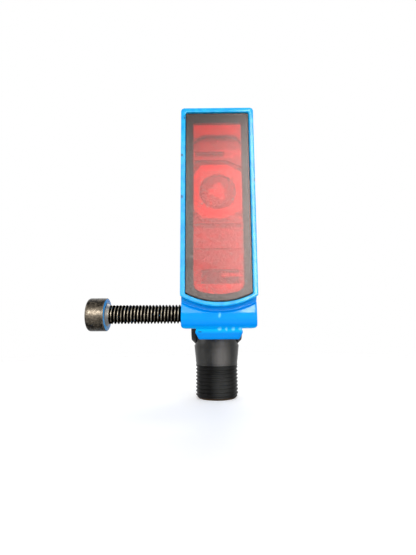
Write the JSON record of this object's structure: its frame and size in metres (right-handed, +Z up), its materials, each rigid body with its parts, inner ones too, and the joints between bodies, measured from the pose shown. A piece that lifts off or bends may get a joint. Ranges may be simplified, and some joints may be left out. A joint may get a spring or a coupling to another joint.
{
  "type": "photoelectric sensor",
  "caption": "Compact block-shaped photoelectric sensor with a red front screen, a dovetail rail, a cross screw through its foot and a swivelling round threaded connector.",
  "frame": {"origin": "middle of the dovetail rail's foot face, under the housing", "axes": "+Z up along the housing, -Y the way the sensor looks, +X to the right seen from the front"},
  "size_m": [0.0353, 0.042, 0.0663],
  "materials": {
    "blue_paint": "glossy azure paint over die-cast metal, chipped at the edges",
    "red_screen": "smoky red acrylic, finely scratched",
    "black_rubber": "matt moulded rubber",
    "light_plastic": "moulded, satin",
    "clear_lens": "polished clear acrylic",
    "black_plastic": "glass-filled polyamide, matt, slightly worn",
    "board": "green solder mask",
    "chip": "moulded epoxy",
    "can": "tinned sheet",
    "capacitor_sleeve": "shrunk sleeve",
    "trimmer_blue": "moulded",
    "white_plastic": "moulded, satin",
    "green_light": "clear moulded",
    "amber_light": "clear moulded",
    "bright_steel": "zinc plated",
    "gold_contact": "gold plated",
    "wire": "extruded insulation",
    "blackened_steel": "black-oxide steel, worn bright on the crests"
  },
  "bodies": {
    "sensor": {"housing": "blue_paint", "rear_cover": "blue_paint", "rear_gasket": "black_rubber", "rear_cover_screws": "bright_steel", "front_screen": "red_screen", "screen_seal": "black_rubber", "optics_carrier": "light_plastic", "lens_plate": "light_plastic", "lens": "clear_lens", "lens_retainer": "black_plastic", "beam_splitter": "clear_lens", "emitter_led": "red_screen", "receiver_diode": "chip", "optics_board": "board", "board_link": "black_plastic", "main_board": "board", "shield_can": "can", "processor_chip": "chip", "capacitors": "capacitor_sleeve", "control_board": "board", "sensitivity_trimmer": "trimmer_blue", "mode_switch": "black_plastic", "indicator_leds": "white_plastic", "control_panel": "black_plastic", "shaft_seals": "black_rubber", "power_light_pipe": "green_light", "output_light_pipe": "amber_light", "connector_yoke": "black_plastic", "yoke_screws": "bright_steel", "swivel_pin": "bright_steel", "connector_leads": "wire", "lead_header": "white_plastic"},
    "screw": {"mounting_screw": "blackened_steel"},
    "connector": {"connector_body": "black_plastic", "contact_insert": "black_plastic", "contact_pins": "gold_contact"},
    "knob": {"sensitivity_knob": "white_plastic"},
    "selector": {"mode_selector": "white_plastic"}
  },
  "joints": [
    {"name": "screw_travel", "type": "slide", "parent": "sensor", "child": "screw", "axis": [1, 0, 0], "range_m": [-0.0085, 0.0158]},
    {"name": "connector_swivel", "type": "hinge", "parent": "sensor", "child": "connector", "pos_m": [0, 0.0215, 0.0032], "axis": [1, 0, 0], "range_deg": [0, 90]},
    {"name": "knob_turn", "type": "hinge", "parent": "sensor", "child": "knob", "pos_m": [0, 0.0115, 0.049], "axis": [0, 0, 1], "range_deg": [-135, 135]},
    {"name": "selector_turn", "type": "hinge", "parent": "sensor", "child": "selector", "pos_m": [0, 0.0195, 0.049], "axis": [0, 0, 1], "range_deg": [0, 90]}
  ]
}
